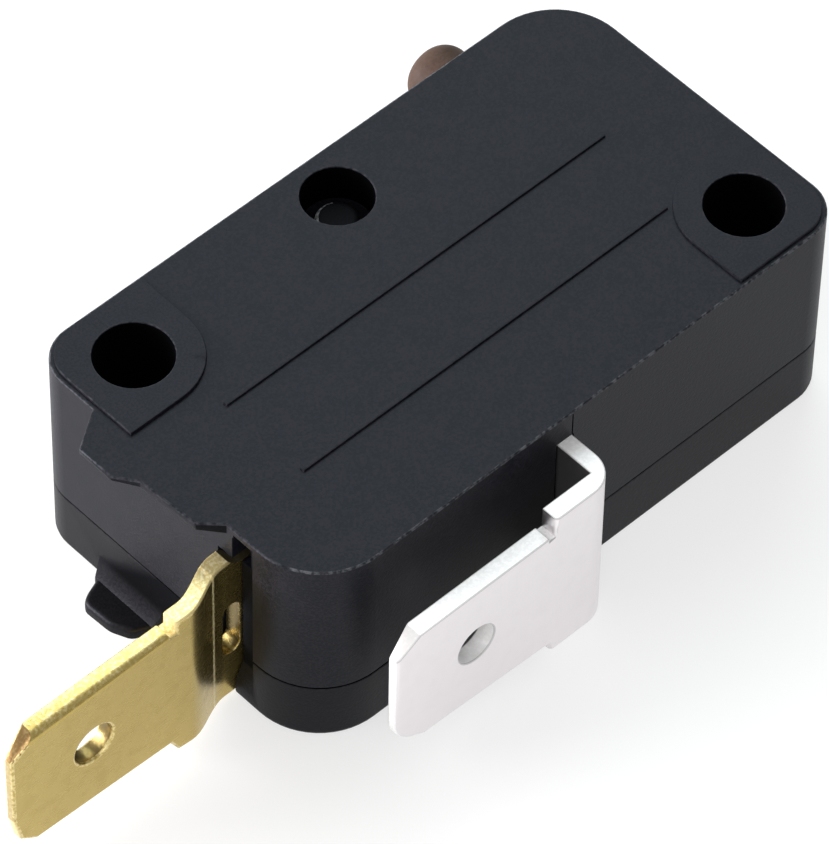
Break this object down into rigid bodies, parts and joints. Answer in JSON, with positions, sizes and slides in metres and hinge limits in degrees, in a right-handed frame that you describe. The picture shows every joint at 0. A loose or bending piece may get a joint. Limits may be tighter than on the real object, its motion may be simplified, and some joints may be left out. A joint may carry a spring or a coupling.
{
  "type": "microwave door switch",
  "caption": "Flat black snap-action door switch with a domed plunger on its top edge, diagonal mounting holes, a brass end blade and a plated blade bent under the body.",
  "frame": {"origin": "midway between the two mounting holes, on the back face of the cover", "axes": "+X along the body away from the brass end terminal, +Y towards the plunger, +Z out of the marked face, along the mounting holes"},
  "size_m": [0.0395, 0.0211, 0.0103],
  "materials": {
    "case_black": "fine matte moulded thermoset",
    "cover_black": "fine matte moulded thermoset",
    "plunger_brown": "smooth moulded thermoset",
    "tin_plate": "dull tin plate on stamped sheet",
    "brass_sheet": "stamped sheet, dull rolled faces and bright sheared edges",
    "contact_silver": "silver alloy rivet",
    "arm_bronze": "rolled bronze strip",
    "lever_steel": "stamped steel",
    "spring_steel": "drawn spring wire"
  },
  "bodies": {
    "housing": {"case": "case_black", "cover": "cover_black", "com_terminal": "tin_plate", "no_terminal": "brass_sheet", "fixed_contact": "contact_silver"},
    "button": {"plunger": "plunger_brown"},
    "lever": {"drive_lever": "lever_steel"},
    "arm": {"contact_arm": "arm_bronze", "moving_contact": "contact_silver", "snap_spring": "spring_steel"}
  },
  "joints": [
    {"name": "plunger_slide", "type": "slide", "parent": "housing", "child": "button", "axis": [0, -1, 0], "range_m": [0, 0.0017], "stiffness_N_per_m": 600, "springref_m": -0.0005},
    {"name": "lever_hinge", "type": "hinge", "parent": "housing", "child": "lever", "pos_m": [-0.00095, -0.0034, 0.0047], "axis": [0, 0, -1], "range_deg": [0, 9.66], "deforming": ["snap_spring"]},
    {"name": "arm_hinge", "type": "hinge", "parent": "housing", "child": "arm", "pos_m": [-0.00125, 0, 0.0047], "axis": [0, 0, 1], "range_deg": [0, 6.87]}
  ],
  "couplings": [
    {"joint": "lever_hinge", "follows": "plunger_slide", "rad_per_m": 99.01},
    {"joint": "arm_hinge", "follows": "plunger_slide", "rad_per_m": 70.292}
  ]
}
